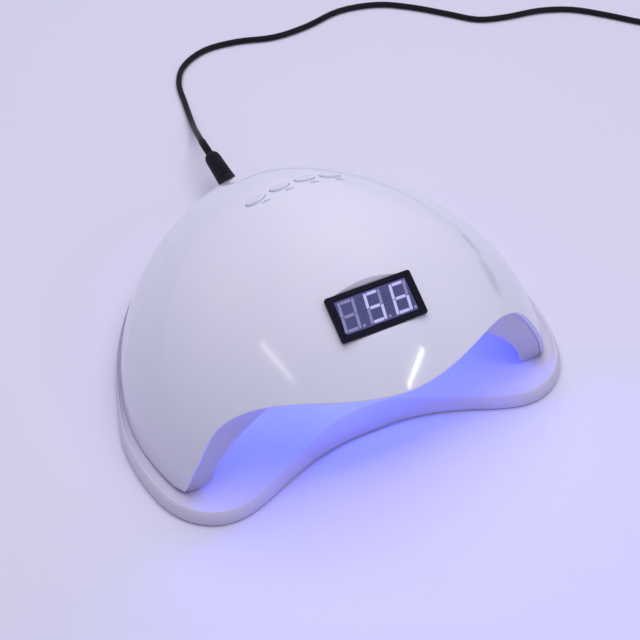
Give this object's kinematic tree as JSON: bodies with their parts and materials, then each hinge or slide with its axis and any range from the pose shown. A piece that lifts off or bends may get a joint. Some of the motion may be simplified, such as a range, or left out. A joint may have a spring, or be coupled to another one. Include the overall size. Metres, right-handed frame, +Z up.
{
  "type": "nail curing lamp",
  "caption": "Domed table-top nail lamp with an open hand space, digit display, timer buttons, lift-off tray and a lead with a plug-in adapter.",
  "frame": {"origin": "on the table, under the middle of the lamp's length and width, the lead left out", "axes": "+Z up, +X to the lamp's right as seen from its open side, the open side faces -Y"},
  "size_m": [0.5742, 0.3434, 0.102],
  "materials": {
    "white_gloss": "polished white moulding",
    "white_satin": "fine satin white moulding",
    "silvered": "silver-grey coated moulding",
    "black_plastic": "fine matt black moulding",
    "smoked_lens": "polished smoked acrylic",
    "rubber_black": "matt black rubber",
    "lead_jacket": "smooth black jacket",
    "board_green": "green solder mask",
    "strip_white": "white lamp strip",
    "steel": "plated steel"
  },
  "bodies": {
    "base": {"tray": "white_satin", "foot_front_left": "rubber_black", "foot_front_right": "rubber_black", "foot_rear_left": "rubber_black", "foot_rear_right": "rubber_black", "foot_rear_middle": "rubber_black", "tray_magnet_right": "steel", "tray_magnet_rear_right": "steel", "tray_magnet_rear_left": "steel", "tray_magnet_left": "steel", "lead": "lead_jacket", "lead_coil": "lead_jacket", "coil_tie": "rubber_black", "lead_tail": "lead_jacket", "adapter_relief": "lead_jacket", "adapter_case": "black_plastic", "adapter_cap": "black_plastic", "adapter_pin_left": "steel", "adapter_pin_right": "steel"},
    "housing": {"front_cover": "white_gloss", "rear_cover": "white_gloss", "reflector": "silvered", "led_strip_low": "strip_white", "led_strip_high": "strip_white", "led_roof_plate": "strip_white", "hand_sensor": "smoked_lens", "housing_magnet_right": "steel", "housing_magnet_rear_right": "steel", "housing_magnet_rear_left": "steel", "housing_magnet_left": "steel", "cover_screw_front_right": "steel", "cover_screw_rear_right": "steel", "cover_screw_rear_left": "steel", "cover_screw_front_left": "steel", "display_frame": "black_plastic", "display_lens": "smoked_lens", "digit_block": "black_plastic", "display_board": "board_green", "switch_10s": "black_plastic", "switch_30s": "black_plastic", "switch_60s": "black_plastic", "switch_99s": "black_plastic", "button_board": "board_green", "main_board": "board_green", "power_socket": "black_plastic", "plug_barrel": "steel", "plug_boot": "lead_jacket"},
    "key_10s": {"button_10s": "white_gloss"},
    "key_30s": {"button_30s": "white_gloss"},
    "key_60s": {"button_60s": "white_gloss"},
    "key_99s": {"button_99s": "white_gloss"}
  },
  "joints": [
    {"name": "housing_lift", "type": "slide", "parent": "base", "child": "housing", "axis": [0, 0, 1], "range_m": [0, 0.1]},
    {"name": "press_10s", "type": "slide", "parent": "housing", "child": "key_10s", "axis": [0, -0.3981, -0.9174], "range_m": [0, 0.0006], "stiffness_N_per_m": 900},
    {"name": "press_30s", "type": "slide", "parent": "housing", "child": "key_30s", "axis": [0, -0.3981, -0.9174], "range_m": [0, 0.0006], "stiffness_N_per_m": 900},
    {"name": "press_60s", "type": "slide", "parent": "housing", "child": "key_60s", "axis": [0, -0.3981, -0.9174], "range_m": [0, 0.0006], "stiffness_N_per_m": 900},
    {"name": "press_99s", "type": "slide", "parent": "housing", "child": "key_99s", "axis": [0, -0.3981, -0.9174], "range_m": [0, 0.0006], "stiffness_N_per_m": 900}
  ]
}
